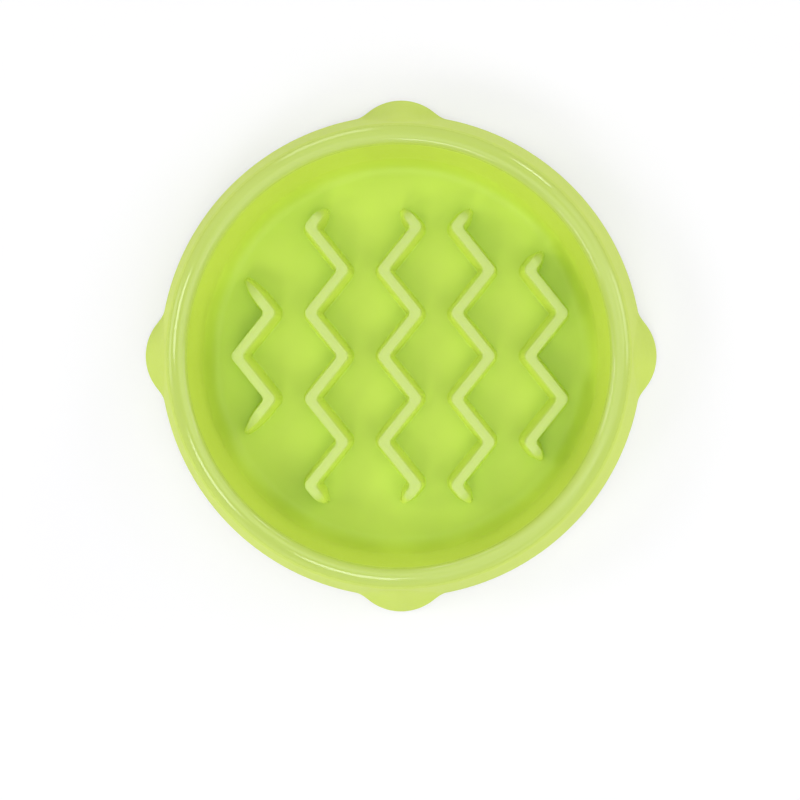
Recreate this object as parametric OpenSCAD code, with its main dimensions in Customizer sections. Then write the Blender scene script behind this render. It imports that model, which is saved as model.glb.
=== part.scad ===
// Round slow feeder bowl for a cat or a small dog. One thin plastic moulding holds the floor with its
// zigzag ridges, the wall, the rounded lip and the flared skirt, whose four lobes stand on rubber feet.
// Sizes are in millimetres and angles in degrees. The origin is the middle of the resting plane, +Z is up.

/* [Bowl] */
// Height of the top of the lip above the table
bowl_h = 38; // [34:1:46]
// Radius of the ring along the top of the lip
lip_r = 74; // [72:0.5:77]
// Rounding of the lip on its inner side
lip_in_round = 2.4; // [1.6:0.2:3.2]
// Rounding of the lip on its outer side
lip_out_round = 5.3; // [3.5:0.1:6.5]
// Thickness of the wall, the lip, the skirt and the lobes
wall_t = 2.2; // [1.6:0.1:2.8]
// Draft of the wall
wall_draft = 4; // [2:0.5:6]
// Height of the upper face of the floor above the table
floor_top = 7; // [6:0.5:10]
// Thickness of the floor
floor_t = 2.4; // [1.8:0.1:3]
// Radius of the blend from the floor into the wall
floor_blend = 6; // [3:0.5:8]
// How far the bottom edge of the skirt stands out from the ring along the lip
skirt_out = 13; // [10:0.2:16]
// Height of the bottom edge of the skirt above the table
skirt_lift = 1.2; // [0.6:0.1:2]
// Rounding of the bottom edge of the skirt and the lobes
edge_round = 0.7; // [0.3:0.1:0.8]

/* [Lobes] */
// How far the tip of a lobe stands out from the skirt
lobe_out = 5.4; // [4:0.1:8]
// Radius of a lobe at its bottom edge
lobe_r = 19.1; // [16:0.1:22]
// How far below the top of the lip a lobe runs out into the skirt
lobe_drop = 8; // [6:1:18]

/* [Ridges] */
// Height of the ridges above the floor
ridge_h = 15; // [10:0.5:20]
// Distance from one ridge to the next
ridge_gap = 25.5; // [24:0.5:27]
// Width of the top of a ridge, to its unrounded corners
crest_w = 3.2; // [2.4:0.1:3.6]
// Rounding of the top of a ridge
crest_round = 0.5; // [0.3:0.1:1.1]
// Draft of the sides of a ridge
ridge_draft = 4.5; // [3:0.5:6]
// Radius of the blend from a ridge into the floor
foot_blend = 0.8; // [0.6:0.1:1.6]
// Length of one zigzag stretch, measured along the ridge's line
zig_pitch = 15; // [14:0.5:16]
// Sideways reach of the zigzag, from the ridge's line to a sharp corner
zig_reach = 6; // [5:0.1:7]
// Radius of the outer side of a bend, at the top of the ridge
bend_outer_r = 2.4; // [1.8:0.1:3.2]
// Radius of the inner side of a bend, at the top of the ridge
bend_inner_r = 2; // [1:0.1:3]
// Length past the last bend of the ridge on the left
left_tail = 11.2; // [8:0.2:12]
// Length past the last bend of the three long ridges
long_tail = 6.4; // [6:0.2:9]
// Length past the last bend of the ridge on the right
right_tail = 6.2; // [6:0.2:9]
// Length of the rounded nose at each end of a ridge
nose_len = 6; // [4:0.5:6]
// How far the top of a nose falls at the ridge's tip
nose_drop = 4; // [2:0.5:8]
// Length of the softer noses of the ridge on the left
left_nose_len = 10; // [4:0.5:11]
// How far the top of those noses falls
left_nose_drop = 6; // [2:0.5:10]

/* [Feet] */
// Radius of a rubber foot
foot_r = 9; // [7:0.5:9.5]
// Distance from the tip of a lobe in to the middle of its foot
foot_inset = 15.4; // [14.5:0.1:16]
// Space between a foot and its socket
foot_gap = 0.1; // [0.05:0.05:0.3]
// Rounding of the bottom edge of a foot
foot_round = 0.8; // [0.3:0.1:1]
// Lead-in at the top edge of a foot
foot_lead = 0.5; // [0.2:0.1:0.8]
// Radius of the grip groove in the sole of a foot
groove_r = 5.5; // [4:0.5:6]
// Width of the grip groove
groove_w = 1; // [0.6:0.1:1.4]
// Depth of the grip groove
groove_d = 0.5; // [0.2:0.1:0.8]
// Thickness of the socket round a foot
socket_t = 1.6; // [1.2:0.1:2]
// Thickness of the crossed ribs that stop a foot
rib_t = 1.4; // [1:0.1:2]

/* [Hidden] */
$fn = 180;

// Colours of the plastic and of the rubber
plastic = [0.72, 0.84, 0.25];
rubber = [0.20, 0.21, 0.21];

// Number of lobes, and of feet
lobe_count = 4;
// How far cutting shapes run past what they cut
overrun = 1;
// How far the outer edge of a ridge's blend is bedded in the floor
bed = 0.05;
// Radius that the inner side of a bend keeps, low on the ridge
bend_least_r = 0.5;
// Number of straight steps in a rounded corner, and in each curve of a ridge
corner_steps = 8;
foot_steps = 2;
crest_steps = 3;
bend_steps = 4;
tail_steps = 3;
tip_steps = 3;

// Bends of each ridge, from left to right, and the side of its middle bend
ridge_bends = [3, 7, 7, 7, 5];
ridge_sides = [-1, 1, -1, 1, -1];
ridge_tails = [left_tail, long_tail, long_tail, long_tail, right_tail];
left_nose = [left_nose_len, left_nose_drop];
nose = [nose_len, nose_drop];
ridge_noses = [left_nose, nose, nose, nose, nose];

// Lines of the bowl's section. The wall leans out at wall_draft, and the skirt touches the lip's rounding
skirt_r = lip_r + skirt_out;
rim_x = lip_r - lip_in_round / tan((90 + wall_draft) / 2);
floor_x = rim_x - (bowl_h - floor_top) * tan(wall_draft);
skirt_run = [skirt_out, skirt_lift - (bowl_h - lip_out_round)];
skirt_lean = atan2(skirt_run.y, skirt_run.x) + acos(lip_out_round / norm(skirt_run));
function wall_x(z, out) = rim_x - (bowl_h - z) * tan(wall_draft) + out / cos(wall_draft);
function skirt_x(z, in) = skirt_r - (z - skirt_lift) * tan(skirt_lean) - in / cos(skirt_lean);

// Top of the hollow between the wall and the skirt, rounded so that the lip keeps its thickness
hollow_gap = skirt_x(bowl_h, wall_t) - wall_x(bowl_h, wall_t);
hollow_z = bowl_h + hollow_gap / (tan(wall_draft) + tan(skirt_lean));
hollow_round = (hollow_z - bowl_h + wall_t) / (1 / sin((wall_draft + skirt_lean) / 2) - 1);

// Line up the middle of the hollow
function hollow_mid(z) = (wall_x(z, wall_t) + skirt_x(z, wall_t)) / 2;
floor_under = floor_top - floor_t;

// Lobes are cones that stand on the skirt's bottom edge
lobe_reach = skirt_r + lobe_out;
lobe_place = lobe_reach - lobe_r;
lobe_rise = bowl_h - lobe_drop;
lobe_lean = atan((lobe_reach - skirt_x(lobe_rise, 0)) / (lobe_rise - skirt_lift));
lobe_top = bowl_h - lip_out_round;
function lobe_x(z, in) = lobe_r - (z - skirt_lift) * tan(lobe_lean) - in / cos(lobe_lean);
// A lobe's cone ends under the lip's rounding, or at its own point if that is lower
function lobe_high(in) = min(lobe_top, skirt_lift + lobe_x(skirt_lift, in) / tan(lobe_lean));

// A foot fills its socket from the table up to the level of the floor's underside
foot_place = lobe_reach - foot_inset;
foot_h = floor_under;

// Angle of the zigzag stretches to the ridge's line
zig_angle = atan(2 * zig_reach / zig_pitch);
// Half width of a ridge's side at height z, and where its blend ends on the floor
function side_x(z) = crest_w / 2 + (ridge_h - z) * tan(ridge_draft);
blend_x = side_x(foot_blend) + foot_blend / cos(ridge_draft);

// Points of the arc that rounds corner b, coming from a and going to c
function corner_arc(a, b, c, r) =
    let (
        u = (a - b) / norm(a - b),
        v = (c - b) / norm(c - b),
        half = acos(u * v) / 2,
        middle = b + (u + v) / norm(u + v) * r / sin(half),
        start = b + u * r / tan(half) - middle,
        turn = (180 - 2 * half) * sign(cross(-u, v))
    )
    [for (i = [0:corner_steps])
        let (t = turn * i / corner_steps)
        middle + [start.x * cos(t) - start.y * sin(t), start.x * sin(t) + start.y * cos(t)]];

// Outline through corners [x, z, radius], each rounded by its radius
function rounded(corners) =
    let (n = len(corners))
    [for (i = [0:n - 1])
        let (
            p = corners[i],
            before = corners[(i + n - 1) % n],
            after = corners[(i + 1) % n]
        )
        each p[2] == 0 ? [[p.x, p.y]]
            : corner_arc([before.x, before.y], [p.x, p.y], [after.x, after.y], p[2])];

// Section of the moulding as if it were filled, over the floor, the lip and down the skirt
module filled_section() {
    polygon(rounded([
        [0, floor_top, 0],
        [floor_x, floor_top, floor_blend],
        [rim_x, bowl_h, lip_in_round],
        [skirt_x(bowl_h, 0), bowl_h, lip_out_round],
        [skirt_r, skirt_lift, edge_round],
        [0, skirt_lift, 0]
    ]));
}

// Section of the hollow under the floor and between the wall and the skirt
module hollow_section() {
    polygon(rounded([
        [0, -overrun, 0],
        [skirt_x(-overrun, wall_t), -overrun, 0],
        [skirt_x(hollow_z, wall_t), hollow_z, hollow_round],
        [wall_x(floor_under, wall_t), floor_under, floor_blend + wall_t],
        [0, floor_under, 0]
    ]));
}

// One copy for each lobe, placed at a distance from the middle
module at_lobes(place) {
    for (i = [0:lobe_count - 1])
        rotate([0, 0, i * 360 / lobe_count])
            translate([place, 0, 0])
                children();
}

// The four lobes, or with a depth the space inside them. Both start in the middle of the hollow
module lobes(depth) {
    low = depth > 0 ? -overrun : skirt_lift;
    core_low = -2 * overrun;
    core_high = lobe_top + overrun;
    difference() {
        at_lobes(lobe_place)
            rotate_extrude()
                polygon(rounded([
                    [0, low, 0],
                    [lobe_x(low, depth), low, depth > 0 ? 0 : edge_round],
                    [lobe_x(lobe_high(depth), depth), lobe_high(depth), 0],
                    [0, lobe_high(depth), 0]
                ]));
        rotate_extrude()
            polygon([
                [0, core_low],
                [hollow_mid(core_low), core_low],
                [hollow_mid(core_high), core_high],
                [0, core_high]
            ]);
    }
}

// Socket wall round a foot, and crossed ribs that stop the foot, up to the inside of the moulding
module socket() {
    bore_r = foot_r + foot_gap;
    difference() {
        translate([0, 0, -2 * overrun])
            cylinder(h = bowl_h + 3 * overrun, r = bore_r + socket_t);
        translate([0, 0, -3 * overrun])
            cylinder(h = bowl_h + 5 * overrun, r = bore_r);
    }
    for (turn = [45, 135])
        rotate([0, 0, turn])
            translate([-bore_r - socket_t / 2, -rib_t / 2, foot_h])
                cube([2 * bore_r + socket_t, rib_t, bowl_h]);
}

// The thin moulding without its ridges: the filled form less the hollow, where the sockets are left
module shell() {
    difference() {
        union() {
            rotate_extrude()
                filled_section();
            lobes(0);
        }
        difference() {
            union() {
                rotate_extrude()
                    hollow_section();
                lobes(wall_t);
            }
            at_lobes(foot_place)
                socket();
        }
    }
}

// Height of a ridge's top at a distance from its tip. nose is [length, drop]
function crest_z(from_tip, nose) =
    ridge_h - nose[1] * pow(1 - min(1, max(0, from_tip) / nose[0]), 2);

// Half section of a ridge whose top is at height top: [distance from the middle, height] from the bottom up
function half_section(top) =
    let (
        crest_mid = side_x(top - crest_round) - crest_round / cos(ridge_draft)
    )
    concat(
        [[blend_x, -floor_t / 2]],
        [for (i = [0:foot_steps])
            let (t = 270 - (90 - ridge_draft) * i / foot_steps)
            [blend_x + foot_blend * cos(t), foot_blend + foot_blend * sin(t) - bed]],
        [for (i = [0:crest_steps])
            let (t = ridge_draft + (90 - ridge_draft) * i / crest_steps)
            [crest_mid + crest_round * cos(t), top - crest_round + crest_round * sin(t)]]
    );

// Stations along a ridge, from its lower to its upper end. Each is [place, turn, side, tip angle, distance
// from the tip]. In a bend, place is the corner, turn the angle round the bend and side the corner's side.
// On a straight, place is the middle of the ridge, turn its heading from +Y and side 0
function bend_stations(k, side) =
    let (
        s = k % 2 == 0 ? side : -side,
        corner = [s * zig_reach, k * zig_pitch]
    )
    [for (i = [0:bend_steps])
        [corner, zig_angle * (2 * i / bend_steps - 1), s, 0, zig_pitch]];

// Straight tail at the end of a ridge, then the half turn round its tip. way is 1 upwards, -1 downwards
function tail_stations(k, side, tail, way) =
    let (
        s = k % 2 == 0 ? side : -side,
        corner = [s * zig_reach, way * k * zig_pitch],
        heading = way * s * zig_angle,
        run = [-s * sin(zig_angle), way * cos(zig_angle)],
        end = tail / cos(zig_angle),
        first = max(bend_inner_r + crest_w / 2, bend_least_r + blend_x) * tan(zig_angle),
        last = end - side_x(0)
    )
    concat(
        [for (i = [1:tail_steps])
            let (at = first + (last - first) * i / tail_steps)
            [corner + run * at, heading, 0, 0, end - at]],
        [for (i = [1:tip_steps])
            [corner + run * last, heading, 0, way * 90 * i / tip_steps, end - last]]
    );

function backwards(list) = [for (i = [len(list) - 1:-1:0]) list[i]];

function ridge_stations(bends, side, tail) =
    let (last = (bends - 1) / 2)
    concat(
        backwards(tail_stations(last, side, tail, -1)),
        [for (k = [-last:last]) each bend_stations(k, side)],
        tail_stations(last, side, tail, 1)
    );

// Point of a bend's rounded flank. reach is the distance from the middle of the ridge, outwards above zero
function bend_point(corner, side, turn, reach) =
    let (
        r = reach > 0
            ? bend_outer_r + reach - crest_w / 2
            : max(bend_least_r, bend_inner_r + reach + crest_w / 2)
    )
    corner + [side * ((reach - r) / cos(zig_angle) + r * cos(turn)), r * sin(turn)];

// Point of a ridge's surface at a station, for point j of the half section, on the right (1) or left (-1)
function flank_point(station, j, flank, nose) =
    let (
        x = half_section(ridge_h)[j].x,
        h = station[1],
        side = station[2],
        across = flank * x * cos(station[3]),
        ahead = x * sin(station[3]),
        plan = side == 0
            ? station[0] + across * [cos(h), sin(h)] + ahead * [-sin(h), cos(h)]
            : bend_point(station[0], side, h, flank * side * x),
        top = crest_z(station[4] - abs(ahead), nose)
    )
    [plan.x, plan.y, half_section(top)[j].y];

function ridge_ring(station, nose) =
    let (last = len(half_section(ridge_h)) - 1)
    concat(
        [for (j = [0:last]) flank_point(station, j, 1, nose)],
        [for (j = [last:-1:0]) flank_point(station, j, -1, nose)]
    );

// One zigzag ridge, lofted through its stations
module ridge(bends, side, tail, nose) {
    rings = [for (station = ridge_stations(bends, side, tail)) ridge_ring(station, nose)];
    n = len(rings[0]);
    polyhedron(
        points = [for (ring = rings) each ring],
        faces = [for (i = [0:len(rings) - 2], j = [0:n - 1])
            let (a = i * n + j, b = i * n + (j + 1) % n)
            each [[a, b + n, a + n], [a, b, b + n]]],
        convexity = 10
    );
}

module ridges() {
    middle = (len(ridge_bends) - 1) / 2;
    for (i = [0:len(ridge_bends) - 1])
        translate([(i - middle) * ridge_gap, 0, floor_top])
            ridge(ridge_bends[i], ridge_sides[i], ridge_tails[i], ridge_noses[i]);
}

module bowl() {
    color(plastic) {
        shell();
        ridges();
    }
}

// Rubber foot with a rounded sole, a grip groove and a lead-in edge
module foot(place) {
    color(rubber)
        rotate([0, 0, place * 360 / lobe_count])
            translate([foot_place, 0, 0])
                rotate_extrude()
                    polygon(rounded([
                        [0, 0, 0],
                        [groove_r - groove_w / 2, 0, 0],
                        [groove_r, groove_d, 0],
                        [groove_r + groove_w / 2, 0, 0],
                        [foot_r, 0, foot_round],
                        [foot_r, foot_h - foot_lead, 0],
                        [foot_r - foot_lead, foot_h, 0],
                        [0, foot_h, 0]
                    ]));
}

module foot_right() {
    foot(0);
}

module foot_back() {
    foot(1);
}

module foot_left() {
    foot(2);
}

module foot_front() {
    foot(3);
}

bowl();
foot_right();
foot_back();
foot_left();
foot_front();
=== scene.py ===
import math
from collections import namedtuple

import bmesh
import bpy
import numpy as np
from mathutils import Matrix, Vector
from mathutils.geometry import delaunay_2d_cdt


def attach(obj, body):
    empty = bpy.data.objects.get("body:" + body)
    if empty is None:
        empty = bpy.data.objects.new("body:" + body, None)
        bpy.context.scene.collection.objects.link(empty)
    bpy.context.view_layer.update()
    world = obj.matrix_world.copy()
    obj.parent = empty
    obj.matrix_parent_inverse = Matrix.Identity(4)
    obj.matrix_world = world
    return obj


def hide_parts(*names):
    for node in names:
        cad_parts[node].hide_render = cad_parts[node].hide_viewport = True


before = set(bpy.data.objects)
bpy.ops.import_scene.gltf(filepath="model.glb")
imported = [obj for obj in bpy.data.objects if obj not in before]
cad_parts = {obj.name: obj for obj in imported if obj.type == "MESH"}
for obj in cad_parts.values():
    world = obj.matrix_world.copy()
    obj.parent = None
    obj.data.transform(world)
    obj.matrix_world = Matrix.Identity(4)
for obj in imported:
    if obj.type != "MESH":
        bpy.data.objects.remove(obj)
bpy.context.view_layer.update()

# Sizes of the bowl in millimetres, with angles in degrees. They are the construction's own, apart from the
# ridges' domed tops and their longer, narrower ends
MM = 0.001
BOWL_H = 38.0
LIP_R = 74.0
LIP_IN_ROUND = 2.4
LIP_OUT_ROUND = 5.3
WALL_T = 2.2
WALL_DRAFT = 4.0
FLOOR_TOP = 7.0
FLOOR_T = 2.4
FLOOR_BLEND = 6.0
SKIRT_OUT = 13.0
SKIRT_LIFT = 1.2
# Rounding of both edges round the bottom of the skirt
EDGE_ROUND = 0.8

LOBE_COUNT = 4
LOBE_OUT = 5.4
LOBE_R = 19.1
LOBE_DROP = 8.0
# Width of the soft blend between a lobe and the skirt, the height over which it fades out, and what stays
LOBE_BLEND = 2.0
LOBE_BLEND_FADE = 9.0
LOBE_BLEND_LEAST_SHARE = 0.02
# The bottom edge's rounding leans as a lobe does where the lobe stands out of the skirt by this much, and as
# the skirt does where the lobe lies as far inside it
LEAN_TURN = 0.5

RIDGE_H = 15.0
RIDGE_GAP = 25.5
RIDGE_DRAFT = 4.5
CREST_W = 3.2
CREST_ROUND = 0.5
# Slope of the slightly domed top of a ridge where its rounded edge starts
CREST_SLOPE = 25.0
FOOT_BLEND = 0.8
ZIG_PITCH = 15.0
ZIG_REACH = 6.0
# Radii of the two sides of a bend at the top of a ridge, and the least that the inner side keeps lower down
BEND_OUTER_R = 2.4
BEND_INNER_R = 2.0
BEND_LEAST_R = 0.5
# Noses at the ridges' ends: the length over which the top falls, the fall, and the length that narrows
Nose = namedtuple("Nose", "length fall taper")
LEFT_NOSE = Nose(12.0, 9.0, 9.5)
NOSE = Nose(5.8, 7.0, 4.5)
# Share of the width that is left at a tip
TIP_SHARE = 0.45
# Ridges from left to right: number of bends, side of the middle bend, length past the last bend, and nose
Ridge = namedtuple("Ridge", "bends side tail nose")
RIDGES = [Ridge(3, -1, 12.4, LEFT_NOSE),
          Ridge(7, 1, 7.0, NOSE),
          Ridge(7, -1, 7.0, NOSE),
          Ridge(7, 1, 7.0, NOSE),
          Ridge(5, -1, 6.8, NOSE)]

FOOT_R = 9.0
FOOT_INSET = 15.4
FOOT_GAP = 0.1
SOCKET_T = 1.6
RIB_T = 1.4
RIB_ARMS = 4
# Angle of the crossed ribs to the lobe's own axis
RIB_TURN = 45

# Fineness of the meshes. The finer columns reach to this angle on both sides of a lobe
LOBE_SPAN = 16.0
LOBE_COLUMNS = 64
PLAIN_COLUMNS = 36
ARC_STEPS = 12
SIDE_ROWS = 26
SOCKET_STEPS = 96
BEND_STEPS = 10
TAIL_STEPS = 10
TIP_STEPS = 8
FOOT_STEPS = 6
CREST_STEPS = 5
DOME_STEPS = 4
# Heights of the rows between the wall's roundings, and radii of the rows under the floor
WALL_ROWS = (20.0, 28.0)
UNDER_ROWS = (40.0, 16.0)
# Distance in millimetres within which points of the flat floor are one
FLAT_MERGE = 1e-6
# Distance in metres within which points are joined, and the length of an edge that counts as none
MERGE_WITHIN = 1e-6
NO_EDGE = 1e-7
# Turn at an edge from which it is shaded as a sharp one
SHARP_ANGLE = math.radians(38)

# Colours, linear
PLASTIC_DEEP = (0.66, 0.82, 0.094, 1)
PLASTIC_LIGHT = (0.69, 0.85, 0.105, 1)
# Painted highlight on the ridges' tops and upper flanks
PLASTIC_HIGHLIGHT = (0.66, 0.785, 0.25, 1)
# Painted shade that makes the lip darker
PLASTIC_LIP_SHADE = (0.60, 0.735, 0.145, 1)
RUBBER_DARK = (0.030, 0.031, 0.032, 1)
RUBBER_DUSTY = (0.055, 0.056, 0.057, 1)
FLOOR_COLOUR = (0.58, 0.575, 0.60, 1)
WORLD_COLOUR = (1, 1, 1, 1)
# Heights above the ground between which a painted highlight makes the ridges' upward faces pale and their
# flanks less pale, and painted shade makes the lip darker while it turns glossy
CREST_HIGHLIGHT = (12.0, 15.0)
FLANK_HIGHLIGHT = (16.5, 21.5)
FLANK_HIGHLIGHT_SHARE = 0.6
LIP_SHADE_AND_GLOSS = (34.5, 37.5)
# Upward part of the normal at which a face starts to count as looking up, and at which it fully does
CREST_TURN = (0.45, 0.75)
# Least and most of the painted highlight on the ridges, in fine patches
CREST_PATCHES = (0.8, 1.0)
# Roughness of the satin plastic, of its glossy lip, and of the rubber
SATIN = (0.42, 0.50)
GLOSS = (0.10, 0.14)
RUBBER_ROUGHNESS = (0.62, 0.78)
# Noises: size of their features in millimetres, and detail
FLOW_MARKS = (22.0, 3)
SLOW_WAVES = (14.0, 2)
FINE_GRAIN = (1.3, 4)
RUBBER_DUST = (5.0, 4)
RUBBER_GRAIN = (0.35, 3)
# Noise values that are taken as the least and the most
NOISE_ENDS = (0.3, 0.7)
# Bumps: strength, and depth in millimetres
WAVE_BUMP = (0.25, 0.12)
FINE_BUMP = (0.10, 0.03)
RUBBER_BUMP = (0.35, 0.05)
PLASTIC_IOR = 1.49
RUBBER_IOR = 1.50
# Light that the plastic scatters: how evenly its face does it, the share that goes in first, how far that
# goes in millimetres, and how much of that way red, green and blue go
FACE_EVENNESS = 1.0
INNER_LIGHT_SHARE = 0.12
INNER_LIGHT_REACH = 2.0
INNER_LIGHT_COLOURS = (1.0, 1.0, 0.35)
# Spacing of the nodes in the node editor
NODE_COLUMN = 220
NODE_ROW = 260

# Camera in millimetres, with the width that it sees on the floor, and the frame's shift
CAMERA_X = 14.0
CAMERA_Y = 0.0
CAMERA_UP = 550.0
SENSOR_WIDTH = 36.0
FRAME_WIDTH = 289.2
CAMERA_SHIFT = (-0.05, -0.055)

# Floor's side in millimetres. Its own white rises from a level to full between two distances from the middle
FLOOR_SIZE = 6000.0
FLOOR_LIFT = 0.44
FLOOR_CLEAR = (150.0, 900.0)
# Share of the floor's white that reflections show, and level of the world's light on the bowl
FLOOR_SHEEN = 0.25
WORLD_LEVEL = 0.05
# Softboxes, all as far away in metres: name, azimuth, elevation, size in metres, and power in watts
LAMP_AWAY = 1.2
LAMPS = [("overhead", 90, 88, 0.80, 2.7),
         ("low_right", 10, 10, 0.50, 1.8),
         ("side_back_right", 55, 20, 0.22, 1.1),
         ("low_back", 110, 10, 0.50, 2.0),
         ("low_left", 175, 10, 0.50, 1.3),
         ("low_front_left", 235, 10, 0.50, 0.4),
         ("low_front_right", 305, 10, 0.50, 0.5),
         ("side_right", 25, 30, 0.80, 2.0),
         ("side_left", 150, 30, 0.80, 0.5),
         ("side_front", 270, 30, 0.80, 0.7),
         ("high_right", 0, 55, 0.80, 2.3),
         ("high_back", 115, 55, 0.80, 1.0),
         ("streak_left", 170, 44, 0.32, 1.9),
         ("streak_front_left", 212, 46, 0.32, 1.9),
         ("streak_front", 255, 54, 0.32, 2.1),
         ("high_front_right", 300, 55, 0.80, 2.2)]


# Functions of angles in degrees

def tan(degrees):
    return math.tan(math.radians(degrees))


def cos(degrees):
    return math.cos(math.radians(degrees))


def sin(degrees):
    return math.sin(math.radians(degrees))


# Lines of the bowl's section, as in the construction

SKIRT_R = LIP_R + SKIRT_OUT
RIM_X = LIP_R - LIP_IN_ROUND / tan((90 + WALL_DRAFT) / 2)
FLOOR_X = RIM_X - (BOWL_H - FLOOR_TOP) * tan(WALL_DRAFT)
FLOOR_UNDER = FLOOR_TOP - FLOOR_T
SKIRT_RUN = (SKIRT_OUT, SKIRT_LIFT - (BOWL_H - LIP_OUT_ROUND))
SKIRT_LEAN = math.degrees(math.atan2(SKIRT_RUN[1], SKIRT_RUN[0])
                          + math.acos(LIP_OUT_ROUND / math.hypot(*SKIRT_RUN)))


def wall_x(z, out):
    """Radius of the wall's inside at a height, moved out into the wall."""
    return RIM_X - (BOWL_H - z) * tan(WALL_DRAFT) + out / cos(WALL_DRAFT)


def skirt_x(z, depth):
    """Radius of the skirt's outside at a height, drawn in by a depth."""
    return SKIRT_R - (z - SKIRT_LIFT) * tan(SKIRT_LEAN) - depth / cos(SKIRT_LEAN)


# Top of the hollow between the wall and the skirt, and the rounding that ends it
HOLLOW_GAP = skirt_x(BOWL_H, WALL_T) - wall_x(BOWL_H, WALL_T)
HOLLOW_Z = BOWL_H + HOLLOW_GAP / (tan(WALL_DRAFT) + tan(SKIRT_LEAN))
HOLLOW_ROUND = (HOLLOW_Z - BOWL_H + WALL_T) / (1 / sin((WALL_DRAFT + SKIRT_LEAN) / 2) - 1)
# Where the lobes and their feet stand, and how the lobes lean
LOBE_REACH = SKIRT_R + LOBE_OUT
LOBE_PLACE = LOBE_REACH - LOBE_R
LOBE_RISE = BOWL_H - LOBE_DROP
LOBE_LEAN = math.degrees(math.atan((LOBE_REACH - skirt_x(LOBE_RISE, 0)) / (LOBE_RISE - SKIRT_LIFT)))
FOOT_PLACE = LOBE_REACH - FOOT_INSET


def lobe_x(z, depth):
    """Radius of a lobe's own cone at a height, drawn in by a depth."""
    return LOBE_R - (z - SKIRT_LIFT) * tan(LOBE_LEAN) - depth / cos(LOBE_LEAN)


def lobe_reach(theta, z, depth):
    """Radius at which a ray at the angle theta leaves a lobe's cone, drawn in by a depth, or 0."""
    step = 2 * math.pi / LOBE_COUNT
    phi = (theta + step / 2) % step - step / 2
    radius = lobe_x(z, depth)
    under = radius ** 2 - (LOBE_PLACE * np.sin(phi)) ** 2
    reach = LOBE_PLACE * np.cos(phi) + np.sqrt(np.maximum(under, 0))
    return np.where((under > 0) & (radius > 0), reach, 0)


def side_reach(theta, z, depth):
    """Radius of the skirt with its lobes at the angles theta and the heights z, drawn in by a depth."""
    skirt = skirt_x(z, depth) + 0 * theta
    lobe = lobe_reach(theta, z, depth)
    fade = np.clip((LOBE_RISE + LOBE_BLEND - z) / LOBE_BLEND_FADE, LOBE_BLEND_LEAST_SHARE, 1)
    blend = LOBE_BLEND * fade
    near = np.maximum(blend - np.abs(skirt - lobe), 0)
    return np.maximum(skirt, lobe) + near ** 2 / (4 * blend)


# Shell

def corner_arc(before, corner, after, radius, steps):
    """Points of the arc that rounds a corner of an outline."""
    before, corner, after = (np.array(p, float) for p in (before, corner, after))
    u = (before - corner) / np.linalg.norm(before - corner)
    v = (after - corner) / np.linalg.norm(after - corner)
    half = math.acos(float(u @ v)) / 2
    middle = corner + (u + v) / np.linalg.norm(u + v) * radius / math.sin(half)
    start = corner + u * radius / math.tan(half) - middle
    turn = math.copysign(math.pi - 2 * half, -u[0] * v[1] + u[1] * v[0])
    t = np.linspace(0, turn, steps + 1)
    return middle + np.stack([start[0] * np.cos(t) - start[1] * np.sin(t),
                              start[0] * np.sin(t) + start[1] * np.cos(t)], axis=1)


def column_angles():
    """Angles of the shell's columns, closer together over the lobes."""
    step = 2 * math.pi / LOBE_COUNT
    span = math.radians(LOBE_SPAN)
    quarter = np.concatenate([
        np.linspace(-span, span, LOBE_COLUMNS, endpoint=False),
        np.linspace(span, step - span, PLAIN_COLUMNS, endpoint=False)])
    return np.concatenate([quarter + i * step for i in range(LOBE_COUNT)])


def edge_rows(theta, lean):
    """Rows of the rounded bottom edges of the skirt and its lobes, outside and then inside."""
    middle = SKIRT_LIFT + EDGE_ROUND
    rows = []
    for share in np.linspace(0, 1, ARC_STEPS + 1)[1:]:
        turn = lean - (lean + math.pi / 2) * share
        depth = EDGE_ROUND * (1 - np.cos(turn) * np.cos(lean))
        rows.append((side_reach(theta, middle, depth), middle + EDGE_ROUND * np.sin(turn)))
    for share in np.linspace(0, 1, ARC_STEPS + 1):
        turn = math.pi * 1.5 - (math.pi / 2 - lean) * share
        depth = WALL_T - EDGE_ROUND * (1 + np.cos(turn) * np.cos(lean))
        rows.append((side_reach(theta, middle, depth), middle + EDGE_ROUND * np.sin(turn)))
    return rows


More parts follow.
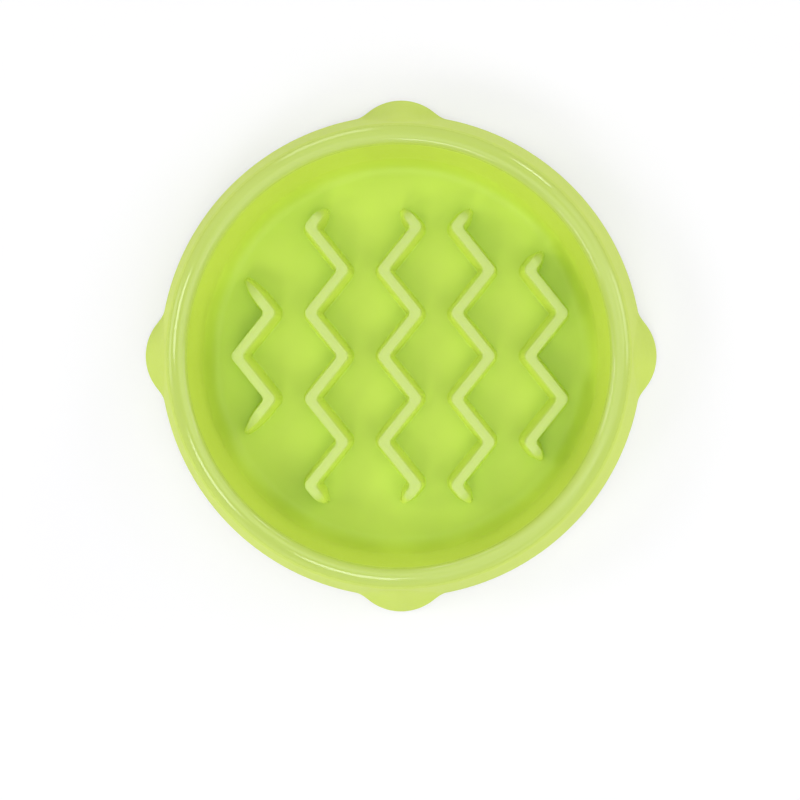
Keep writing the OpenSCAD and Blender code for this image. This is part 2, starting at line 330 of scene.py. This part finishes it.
def shell_rows(theta):
    """Rows of the shell from the floor's edge, over the lip, down the skirt, and back underneath.
    Each row is its radius at every angle, and its height."""
    rows = []

    def plain(points):
        rows.extend((np.full_like(theta, x), np.full_like(theta, z)) for x, z in points)

    def side(top, low, shares, depth):
        for share in shares:
            z = top + (low - top) * share
            rows.append((side_reach(theta, z, depth), z))

    # Inside of the bowl, and the lip
    plain(corner_arc((0, FLOOR_TOP), (FLOOR_X, FLOOR_TOP), (RIM_X, BOWL_H), FLOOR_BLEND, ARC_STEPS))
    plain([(wall_x(z, 0), z) for z in WALL_ROWS])
    plain(corner_arc((FLOOR_X, FLOOR_TOP), (RIM_X, BOWL_H), (LIP_R, BOWL_H), LIP_IN_ROUND, ARC_STEPS))
    shoulder = corner_arc((LIP_R, BOWL_H), (skirt_x(BOWL_H, 0), BOWL_H), (SKIRT_R, SKIRT_LIFT),
                          LIP_OUT_ROUND, ARC_STEPS)
    plain(shoulder[1:])

    # Skirt and lobes, down the outside, round the bottom edge, and up the inside
    middle = SKIRT_LIFT + EDGE_ROUND
    standing_out = lobe_reach(theta, middle, 0) - skirt_x(middle, 0)
    on_lobe = np.clip((standing_out + LEAN_TURN) / (2 * LEAN_TURN), 0, 1)
    lean = np.radians(SKIRT_LEAN + (LOBE_LEAN - SKIRT_LEAN) * on_lobe)
    shares = np.linspace(0, 1, SIDE_ROWS + 1)[1:]
    side(shoulder[-1][1], middle + EDGE_ROUND * np.sin(lean), shares, 0)
    rows.extend(edge_rows(theta, lean))
    ceiling = corner_arc((skirt_x(0, WALL_T), 0), (skirt_x(HOLLOW_Z, WALL_T), HOLLOW_Z),
                         (wall_x(0, WALL_T), 0), HOLLOW_ROUND, ARC_STEPS)
    side(middle - EDGE_ROUND * np.sin(lean), ceiling[0][1], shares[:-1], WALL_T)

    # Top of the hollow, the wall's outside, and the floor's underside
    plain(ceiling)
    plain([(wall_x(z, WALL_T), z) for z in reversed(WALL_ROWS)])
    plain(corner_arc((wall_x(HOLLOW_Z, WALL_T), HOLLOW_Z), (wall_x(FLOOR_UNDER, WALL_T), FLOOR_UNDER),
                     (0, FLOOR_UNDER), FLOOR_BLEND + WALL_T, ARC_STEPS))
    plain([(x, FLOOR_UNDER) for x in UNDER_ROWS])
    return rows


# Ridges

ZIG_ANGLE = math.atan(2 * ZIG_REACH / ZIG_PITCH)


def ridge_x(z):
    """Half of a ridge's width at a height above the floor, before the blend at its foot."""
    return CREST_W / 2 + (RIDGE_H - z) * tan(RIDGE_DRAFT)


def arc(middle, radius, start, end, steps):
    """Points of an arc from one angle to another."""
    t = np.radians(np.linspace(start, end, steps + 1))
    return np.stack([middle[0] + radius * np.cos(t), middle[1] + radius * np.sin(t)], axis=1)


def half_section(top):
    """Half of a ridge's section, from its foot on the floor up to the middle of its slightly domed top."""
    foot_x = ridge_x(FOOT_BLEND) + FOOT_BLEND / cos(RIDGE_DRAFT)
    foot = arc((foot_x, FOOT_BLEND), FOOT_BLEND, 270, 180 + RIDGE_DRAFT, FOOT_STEPS)
    # The dome's radius follows from how wide the ridge is where the flank's edge is rounded
    fall = RIDGE_H - top + CREST_ROUND * (cos(CREST_SLOPE) - sin(RIDGE_DRAFT))
    half = CREST_W / 2 + CREST_ROUND * (sin(CREST_SLOPE) - cos(RIDGE_DRAFT)) + fall * tan(RIDGE_DRAFT)
    dome = half / (sin(CREST_SLOPE) - (1 - cos(CREST_SLOPE)) * tan(RIDGE_DRAFT))
    edge = ((dome - CREST_ROUND) * sin(CREST_SLOPE), top - dome + (dome - CREST_ROUND) * cos(CREST_SLOPE))
    return np.concatenate([foot, arc(edge, CREST_ROUND, RIDGE_DRAFT, 90 - CREST_SLOPE, CREST_STEPS),
                           arc((0, top - dome), dome, 90 - CREST_SLOPE, 90, DOME_STEPS)[1:]])


FULL_SECTION = half_section(RIDGE_H)


def share_of(distance, length):
    """How much of a length a distance covers, from 0 to 1."""
    return min(1.0, max(0.0, distance) / length)


def crest_height(from_tip, nose):
    """Height of a ridge's top at a distance from its tip."""
    return RIDGE_H - nose.fall * (1 - share_of(from_tip, nose.length)) ** 2


def width_share(from_tip, nose):
    """Share of its width that a ridge has at a distance from its tip."""
    t = share_of(from_tip, nose.taper)
    return TIP_SHARE + (1 - TIP_SHARE) * t * (2 - t)


def bend_side(side, k):
    """Side of a ridge's bend, counted from the middle bend, whose side is given."""
    return side if k % 2 == 0 else -side


def bend_point(corner, side, turn, reach):
    """Point of a bend's rounded flank. reach is the distance from the ridge's middle, outwards above zero."""
    radius = BEND_OUTER_R + reach - CREST_W / 2
    if reach <= 0:
        radius = max(BEND_LEAST_R, BEND_INNER_R + reach + CREST_W / 2)
    return (corner[0] + side * ((reach - radius) / math.cos(ZIG_ANGLE) + radius * math.cos(turn)),
            corner[1] + radius * math.sin(turn))


def tail_rings(ridge, last, way):
    """Rings of the straight tail at a ridge's end, and of the half turn round its tip."""
    s = bend_side(ridge.side, last)
    corner = np.array([s * ZIG_REACH, way * last * ZIG_PITCH])
    run = np.array([-s * math.sin(ZIG_ANGLE), way * math.cos(ZIG_ANGLE)])
    right = way * np.array([run[1], -run[0]])
    # The straight part runs from where the last bend's rounding ends to where the half turn starts
    start = max(BEND_INNER_R + CREST_W / 2, BEND_LEAST_R + FULL_SECTION[0][0]) * math.tan(ZIG_ANGLE)
    end = ridge.tail / math.cos(ZIG_ANGLE)
    length = end - ridge_x(0) * TIP_SHARE
    rings = []
    for i in range(1, TAIL_STEPS + TIP_STEPS + 1):
        at = start + (length - start) * min(1.0, i / TAIL_STEPS)
        turn = max(0, i - TAIL_STEPS) / TIP_STEPS * math.pi / 2
        share = width_share(length - at, ridge.nose)
        flanks = ([], [])
        for j, (full, _) in enumerate(FULL_SECTION):
            x = full * share
            ahead = x * math.sin(turn)
            z = half_section(crest_height(end - at - ahead, ridge.nose))[j][1]
            for flank, points in zip((1, -1), flanks):
                plan = corner + run * (at + ahead) + flank * x * math.cos(turn) * right
                points.append((*plan, z))
        rings.append(flanks)
    return rings


def ridge_rings(ridge):
    """Rings of a ridge's surface from one tip to the other, each from its right foot to its left foot."""
    last = (ridge.bends - 1) // 2
    rings = tail_rings(ridge, last, -1)[::-1]
    for k in range(-last, last + 1):
        s = bend_side(ridge.side, k)
        corner = (s * ZIG_REACH, k * ZIG_PITCH)
        for turn in np.linspace(-ZIG_ANGLE, ZIG_ANGLE, BEND_STEPS + 1):
            rings.append([
                [bend_point(corner, s, turn, s * flank * x) + (z,) for x, z in FULL_SECTION]
                for flank in (1, -1)])
    rings += tail_rings(ridge, last, 1)
    return [np.array(right + left[-2::-1]) for right, left in rings]


# Moulding

def add_grid(faces, start, rows, columns, closed):
    """Quads of a grid of rows of vertices. A closed row joins its last vertex to its first."""
    for i in range(rows - 1):
        for j in range(columns if closed else columns - 1):
            a = start + i * columns + j
            b = start + i * columns + (j + 1) % columns
            faces.append((a, b, b + columns, a + columns))


def floor_between(loops):
    """Points and triangles of the disc inside the first loop, less what the other loops hold."""
    flat = [Vector(p) for loop in loops for p in loop]
    outlines, first = [], 0
    for loop in loops:
        outlines.append(list(range(first, first + len(loop))))
        first += len(loop)
    found, _, triangles, _, _, owners = delaunay_2d_cdt(flat, [], outlines, 1, FLAT_MERGE)
    return found, [triangle for triangle, owner in zip(triangles, owners) if list(owner) == [0]]


def bowl_mesh():
    """The moulding as one closed mesh: the shell, the ridges, and the floor between their feet."""
    points, faces = [], []
    theta = column_angles()
    rows = shell_rows(theta)
    for radius, height in rows:
        points.extend(zip(radius * np.cos(theta), radius * np.sin(theta), height))
    n = len(theta)
    add_grid(faces, 0, len(rows), n, True)
    centre = len(points)
    points.append((0.0, 0.0, FLOOR_UNDER))
    under = (len(rows) - 1) * n
    faces.extend((under + (j + 1) % n, under + j, centre) for j in range(n))

    loops = [list(zip(rows[0][0] * np.cos(theta), rows[0][0] * np.sin(theta)))]
    middle = (len(RIDGES) - 1) / 2
    for i, ridge in enumerate(RIDGES):
        rings = [ring + [(i - middle) * RIDGE_GAP, 0, FLOOR_TOP] for ring in ridge_rings(ridge)]
        add_grid(faces, len(points), len(rings), len(rings[0]), False)
        points.extend(tuple(p) for ring in rings for p in ring)
        foot = [ring[0][:2] for ring in rings] + [ring[-1][:2] for ring in rings[-2:0:-1]]
        loops.append([tuple(p) for p in foot])

    found, triangles = floor_between(loops)
    base = len(points)
    points.extend((p.x, p.y, FLOOR_TOP) for p in found)
    faces.extend(tuple(base + v for v in triangle) for triangle in triangles)
    return points, faces


# Sockets and ribs under the lobes

def filling_mesh():
    """A closed solid that fills the bowl from below up to the middle of its thin walls."""
    depth = WALL_T / 2
    floor_z, lip_z = FLOOR_TOP - FLOOR_T / 2, BOWL_H - depth
    low_wall, high_wall = (wall_x(floor_z, depth), floor_z), (wall_x(lip_z, depth), lip_z)
    high_skirt = (skirt_x(lip_z, depth), lip_z)
    corners = [corner_arc((0, floor_z), low_wall, high_wall, FLOOR_BLEND + depth, ARC_STEPS),
               corner_arc(low_wall, high_wall, high_skirt, LIP_IN_ROUND - depth, ARC_STEPS),
               corner_arc(high_wall, high_skirt, (skirt_x(0, depth), 0), LIP_OUT_ROUND - depth, ARC_STEPS)]
    theta = column_angles()
    rows = [(np.full_like(theta, x), z) for corner in corners for x, z in corner]
    rows += [(side_reach(theta, z, depth), z)
             for z in np.linspace(corners[-1][-1][1], SKIRT_LIFT, SIDE_ROWS + 1)[1:]]
    points, faces = [], []
    for radius, z in rows:
        points.extend((r * math.cos(t), r * math.sin(t), z) for r, t in zip(radius, theta))
    n = len(theta)
    add_grid(faces, 0, len(rows), n, True)
    for row, z in ((0, floor_z), (len(rows) - 1, SKIRT_LIFT)):
        faces.extend((row * n + j, row * n + (j + 1) % n, len(points)) for j in range(n))
        points.append((0.0, 0.0, z))
    return points, faces


def at_lobes(points, faces, place):
    """A copy of a mesh for each lobe, moved out to its place."""
    all_points, all_faces = [], []
    for i in range(LOBE_COUNT):
        turn = 2 * math.pi * i / LOBE_COUNT
        c, s = math.cos(turn), math.sin(turn)
        first = len(all_points)
        all_points.extend(((x + place) * c - y * s, (x + place) * s + y * c, z) for x, y, z in points)
        all_faces.extend(tuple(first + v for v in face) for face in faces)
    return all_points, all_faces


def socket_rings():
    """Round walls of the sockets, too long at both ends."""
    bore = FOOT_R + FOOT_GAP
    section = [(bore, 0.0), (bore + SOCKET_T, 0.0), (bore + SOCKET_T, BOWL_H), (bore, BOWL_H)]
    n = len(section)
    points, faces = [], []
    for i in range(SOCKET_STEPS):
        t = 2 * math.pi * i / SOCKET_STEPS
        points.extend((x * math.cos(t), x * math.sin(t), z) for x, z in section)
        step = n if i < SOCKET_STEPS - 1 else -n * i
        for j in range(n):
            a, b = i * n + j, i * n + (j + 1) % n
            faces.append((a, b, b + step, a + step))
    return at_lobes(points, faces, FOOT_PLACE)


def socket_ribs():
    """Crossed ribs in each socket, from the foot's top up."""
    reach, half = FOOT_R + FOOT_GAP + SOCKET_T / 2, RIB_T / 2
    points = []
    for z in (FLOOR_UNDER, BOWL_H):
        for arm in range(RIB_ARMS):
            turn = RIB_TURN + 360 / RIB_ARMS * arm
            for x, y in ((reach, -half), (reach, half), (half, half)):
                points.append((x * cos(turn) - y * sin(turn), x * sin(turn) + y * cos(turn), z))
    n = len(points) // 2
    faces = [tuple(range(n - 1, -1, -1)), tuple(range(n, 2 * n))]
    faces += [(i, (i + 1) % n, n + (i + 1) % n, n + i) for i in range(n)]
    return at_lobes(points, faces, FOOT_PLACE)


# Pieces

def new_object(name, points, faces):
    """An object in the scene from points in millimetres."""
    mesh = bpy.data.meshes.new(name)
    mesh.from_pydata([tuple(c * MM for c in p) for p in points], [], faces)
    piece = bpy.data.objects.new(name, mesh)
    bpy.context.scene.collection.objects.link(piece)
    return piece


def clean(piece):
    """Joins points that fall together, turns the faces outwards, and marks true edges."""
    bm = bmesh.new()
    bm.from_mesh(piece.data)
    bmesh.ops.remove_doubles(bm, verts=bm.verts, dist=MERGE_WITHIN)
    bmesh.ops.dissolve_degenerate(bm, edges=bm.edges, dist=NO_EDGE)
    bmesh.ops.recalc_face_normals(bm, faces=bm.faces)
    for face in bm.faces:
        face.smooth = True
    for edge in bm.edges:
        edge.smooth = len(edge.link_faces) == 2 and edge.calc_face_angle() < SHARP_ANGLE
    bm.to_mesh(piece.data)
    bm.free()


def combine(piece, other, operation):
    """Joins another mesh to a piece, or keeps what both have."""
    change = piece.modifiers.new("change", "BOOLEAN")
    change.operation = operation
    change.solver = "EXACT"
    change.object = other
    result = piece.evaluated_get(bpy.context.evaluated_depsgraph_get())
    mesh = bpy.data.meshes.new_from_object(result)
    piece.modifiers.clear()
    piece.data = mesh


def add_sockets(piece):
    """Adds the sockets' walls and ribs to the moulding, up to the inside of its walls."""
    filling = new_object("filling", *filling_mesh())
    clean(filling)
    for points, faces in (socket_rings(), socket_ribs()):
        part = new_object("socket_part", points, faces)
        clean(part)
        combine(part, filling, "INTERSECT")
        combine(piece, part, "UNION")
        bpy.data.objects.remove(part)
    bpy.data.objects.remove(filling)


# Materials

def node(tree, kind, inputs, **settings):
    """Adds a node. An input whose value is another node's socket is linked to it, and any other is set."""
    made = tree.nodes.new(kind)
    for name, value in settings.items():
        setattr(made, name, value)
    for key, value in inputs.items():
        if isinstance(value, bpy.types.NodeSocket):
            tree.links.new(value, made.inputs[key])
        else:
            made.inputs[key].default_value = value
    return made


def lay_out(tree):
    """Sets out the nodes in columns, each node to the left of all that it feeds."""
    column = {made.name: 0 for made in tree.nodes}
    for _ in tree.nodes:
        for link in tree.links:
            source, target = link.from_node.name, link.to_node.name
            column[source] = max(column[source], column[target] + 1)
    filled = {}
    for made in tree.nodes:
        at = column[made.name]
        made.location = (-at * NODE_COLUMN, -filled.get(at, 0) * NODE_ROW)
        filled[at] = filled.get(at, 0) + 1


def new_material(name):
    """A material with the place on the object, in millimetres, as its only value so far."""
    material = bpy.data.materials.new(name)
    material.use_nodes = True
    tree = material.node_tree
    tree.nodes.clear()
    place = node(tree, "ShaderNodeTexCoord", {})
    scaled = node(tree, "ShaderNodeVectorMath", {0: place.outputs["Object"], "Scale": 1 / MM},
                  operation="SCALE")
    return material, tree, scaled.outputs[0]


def finish_material(tree, surface):
    """Ends a material in its surface."""
    node(tree, "ShaderNodeOutputMaterial", {"Surface": surface.outputs[0]})
    lay_out(tree)


def noise(tree, where, size, detail):
    """Noise whose features are about size millimetres across."""
    made = node(tree, "ShaderNodeTexNoise", {"Vector": where, "Scale": 1 / size, "Detail": detail})
    return made.outputs["Fac"]


def spread(tree, value, low, high):
    """A noise value stretched to run from low to high."""
    made = node(tree, "ShaderNodeMapRange", {
        "Value": value, "From Min": NOISE_ENDS[0], "From Max": NOISE_ENDS[1],
        "To Min": low, "To Max": high})
    return made.outputs["Result"]


def ramp(tree, value, ends, low=0.0, high=1.0):
    """Goes smoothly from low to high as a value goes from one of the ends to the other."""
    made = node(tree, "ShaderNodeMapRange", {
        "Value": value, "From Min": ends[0], "From Max": ends[1],
        "To Min": low, "To Max": high}, interpolation_type="SMOOTHSTEP")
    return made.outputs["Result"]


def mix(tree, share, below, above):
    """A colour that gives way to another one by a share."""
    made = node(tree, "ShaderNodeMix", {"Factor": share, "A": below, "B": above}, data_type="RGBA")
    return made.outputs["Result"]


def math_node(tree, operation, first, second):
    """The result of a calculation on two values, each a socket or a number."""
    return node(tree, "ShaderNodeMath", {0: first, 1: second}, operation=operation).outputs[0]


def bump(tree, height, strength, depth, under=None):
    """A normal with bumps as deep as depth in millimetres, on top of another normal if one is given."""
    inputs = {"Height": height, "Strength": strength, "Distance": depth * MM}
    if under:
        inputs["Normal"] = under
    return node(tree, "ShaderNodeBump", inputs).outputs[0]


def axis_distance(tree, where):
    """Distance from the bowl's upright axis."""
    flat = node(tree, "ShaderNodeVectorMath", {0: where, 1: (1, 1, 0)}, operation="MULTIPLY")
    return node(tree, "ShaderNodeVectorMath", {0: flat.outputs[0]}, operation="LENGTH").outputs["Value"]


def upward_part(tree, vector):
    """The upward part of a place or a normal."""
    return node(tree, "ShaderNodeSeparateXYZ", {0: vector}).outputs["Z"]


def crest_highlight_share(tree, where, height, fine):
    """Share of painted highlight on the tops and upper flanks of the ridges, down to the ends of their noses.
    """
    normal = node(tree, "ShaderNodeTexCoord", {}).outputs["Normal"]
    high = ramp(tree, height, CREST_HIGHLIGHT)
    facing_up = ramp(tree, upward_part(tree, normal), CREST_TURN)
    edge = ramp(tree, height, FLANK_HIGHLIGHT, high=FLANK_HIGHLIGHT_SHARE)
    top = math_node(tree, "MAXIMUM", math_node(tree, "MULTIPLY", high, facing_up), edge)
    inside = ramp(tree, axis_distance(tree, where), (FLOOR_X, FLOOR_X - FLOOR_BLEND))
    patchy = math_node(tree, "MULTIPLY", inside, spread(tree, fine, *CREST_PATCHES))
    return math_node(tree, "MULTIPLY", top, patchy)


def plastic_material():
    """Lime green polypropylene: satin with a glossier lip, a little light goes into it, with faint flow marks
    in the colour, a painted highlight on the ridges' tops, painted shade on the lip, and the soft unevenness
    of a moulded face."""
    material, tree, where = new_material("lime_plastic")
    height = upward_part(tree, where)
    fine = noise(tree, where, *FINE_GRAIN)
    # Band of the lip: painted shade in its colour, and a glossier roughness
    lip = ramp(tree, height, LIP_SHADE_AND_GLOSS)
    flow = spread(tree, noise(tree, where, *FLOW_MARKS), 0, 1)
    colour = mix(tree, flow, PLASTIC_DEEP, PLASTIC_LIGHT)
    # Painted highlight on the ridges' tops and upper flanks
    colour = mix(tree, crest_highlight_share(tree, where, height, fine), colour, PLASTIC_HIGHLIGHT)
    # Painted shade on the lip
    colour = mix(tree, lip, colour, PLASTIC_LIP_SHADE)
    roughness = node(tree, "ShaderNodeMix", {
        "Factor": lip, "A": spread(tree, fine, *SATIN), "B": spread(tree, fine, *GLOSS)},
        data_type="FLOAT")
    wave = bump(tree, noise(tree, where, *SLOW_WAVES), *WAVE_BUMP)
    shader = node(tree, "ShaderNodeBsdfPrincipled", {
        "Base Color": colour,
        "Roughness": roughness.outputs["Result"],
        "Normal": bump(tree, fine, *FINE_BUMP, under=wave),
        "Diffuse Roughness": FACE_EVENNESS,
        "IOR": PLASTIC_IOR,
        "Subsurface Weight": INNER_LIGHT_SHARE,
        "Subsurface Radius": INNER_LIGHT_COLOURS,
        "Subsurface Scale": INNER_LIGHT_REACH * MM})
    finish_material(tree, shader)
    return material


def rubber_material():
    """Matt grey rubber with a fine sandblasted grain and a little dust on it."""
    material, tree, where = new_material("foot_rubber")
    dust = spread(tree, noise(tree, where, *RUBBER_DUST), 0, 1)
    grain = noise(tree, where, *RUBBER_GRAIN)
    shader = node(tree, "ShaderNodeBsdfPrincipled", {
        "Base Color": mix(tree, dust, RUBBER_DARK, RUBBER_DUSTY),
        "Roughness": spread(tree, grain, *RUBBER_ROUGHNESS),
        "Normal": bump(tree, grain, *RUBBER_BUMP),
        "IOR": RUBBER_IOR})
    finish_material(tree, shader)
    return material


# Parts of the object

def make_bowl():
    """The moulding, in the place of the construction's bowl."""
    bowl = new_object("bowl_moulding", *bowl_mesh())
    clean(bowl)
    add_sockets(bowl)
    clean(bowl)
    weighted = bowl.modifiers.new("even_shading", "WEIGHTED_NORMAL")
    weighted.keep_sharp = True
    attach(bowl, "root")
    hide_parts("bowl")
    bowl.data.materials.append(plastic_material())


def dress_feet():
    """Rubber on the construction's own feet."""
    rubber = rubber_material()
    for name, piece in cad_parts.items():
        if name.startswith("foot_"):
            piece.data.materials.clear()
            piece.data.materials.append(rubber)


# Floor, camera and light

def stage_floor():
    """A wide white floor that renders as white wherever the bowl's shadow doesn't fall."""
    material, tree, where = new_material("white_floor")
    material.cycles.emission_sampling = "NONE"
    rays = node(tree, "ShaderNodeLightPath", {})
    sheen = math_node(tree, "MULTIPLY", rays.outputs["Is Glossy Ray"], FLOOR_SHEEN)
    seen = math_node(tree, "MAXIMUM", rays.outputs["Is Camera Ray"], sheen)
    lift = ramp(tree, axis_distance(tree, where), FLOOR_CLEAR, low=FLOOR_LIFT)
    glow = node(tree, "ShaderNodeEmission", {"Strength": math_node(tree, "MULTIPLY", lift, seen)})
    paint = node(tree, "ShaderNodeBsdfDiffuse", {"Color": FLOOR_COLOUR})
    both = node(tree, "ShaderNodeAddShader", {0: paint.outputs[0], 1: glow.outputs[0]})
    finish_material(tree, both)
    half = FLOOR_SIZE / 2
    corners = [(-half, -half, 0), (half, -half, 0), (half, half, 0), (-half, half, 0)]
    floor = new_object("floor", corners, [(0, 1, 2, 3)])
    floor.data.materials.append(material)


def stage_camera():
    """Straight above the bowl, a little to its right, as in the photograph."""
    data = bpy.data.cameras.new("camera")
    data.sensor_width = SENSOR_WIDTH
    data.lens = SENSOR_WIDTH * CAMERA_UP / FRAME_WIDTH
    data.shift_x, data.shift_y = CAMERA_SHIFT
    camera = bpy.data.objects.new("camera", data)
    camera.location = (CAMERA_X * MM, CAMERA_Y * MM, CAMERA_UP * MM)
    bpy.context.scene.collection.objects.link(camera)
    bpy.context.scene.camera = camera


def stage_lamp(name, azimuth, elevation, size, power):
    """A square softbox aimed at the bowl. Azimuth is counted from +X towards +Y."""
    data = bpy.data.lights.new(name, "AREA")
    data.shape = "SQUARE"
    data.size = size
    data.energy = power
    lamp = bpy.data.objects.new(name, data)
    direction = Vector((cos(azimuth) * cos(elevation), sin(azimuth) * cos(elevation), sin(elevation)))
    lamp.location = direction * LAMP_AWAY
    lamp.rotation_euler = direction.to_track_quat("Z", "Y").to_euler()
    bpy.context.scene.collection.objects.link(lamp)


def stage_world():
    """White all round: faint as light on the bowl, and full where the camera, a reflection or a clear
    piece shows it."""
    world = bpy.data.worlds.new("white")
    bpy.context.scene.world = world
    world.use_nodes = True
    world.cycles.sampling_method = "NONE"
    tree = world.node_tree
    tree.nodes.clear()
    rays = node(tree, "ShaderNodeLightPath", {})
    level = math_node(tree, "MAXIMUM", rays.outputs["Is Camera Ray"], WORLD_LEVEL)
    for ray in ("Is Glossy Ray", "Is Transmission Ray"):
        level = math_node(tree, "MAXIMUM", rays.outputs[ray], level)
    back = node(tree, "ShaderNodeBackground", {"Color": WORLD_COLOUR, "Strength": level})
    node(tree, "ShaderNodeOutputWorld", {"Surface": back.outputs[0]})
    lay_out(tree)


make_bowl()
dress_feet()
stage_floor()
stage_camera()
for lamp in LAMPS:
    stage_lamp(*lamp)
stage_world()
bpy.context.scene.view_settings.view_transform = "Standard"
